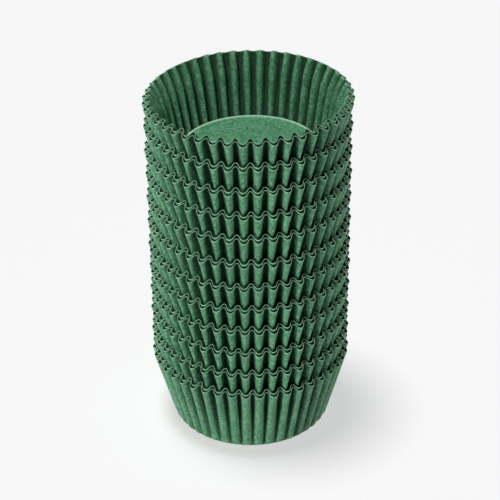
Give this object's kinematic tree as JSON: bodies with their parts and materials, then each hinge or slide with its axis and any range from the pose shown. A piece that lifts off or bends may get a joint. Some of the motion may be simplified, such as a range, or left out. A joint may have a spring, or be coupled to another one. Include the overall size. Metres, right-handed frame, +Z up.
{
  "type": "stack of candy cups",
  "caption": "Stack of small round fluted paper candy cups, nested in pairs, with an open top cup.",
  "frame": {"origin": "centre of the foot of the lowest cup, on the table plane", "axes": "+Z up along the axis of the stack, -Y towards the viewer of the picture"},
  "size_m": [0.05, 0.05, 0.0908],
  "materials": {
    "paper": "matt dyed greaseproof paper"
  },
  "bodies": {
    "root": {"cup_01": "paper", "cup_02": "paper", "cup_03": "paper", "cup_04": "paper", "cup_05": "paper", "cup_06": "paper", "cup_07": "paper", "cup_08": "paper", "cup_09": "paper", "cup_10": "paper", "cup_11": "paper", "cup_12": "paper", "cup_13": "paper", "cup_14": "paper", "cup_15": "paper", "cup_16": "paper", "cup_17": "paper", "cup_18": "paper", "cup_19": "paper", "cup_20": "paper", "cup_21": "paper", "cup_22": "paper", "cup_23": "paper", "cup_24": "paper"}
  },
  "joints": []
}
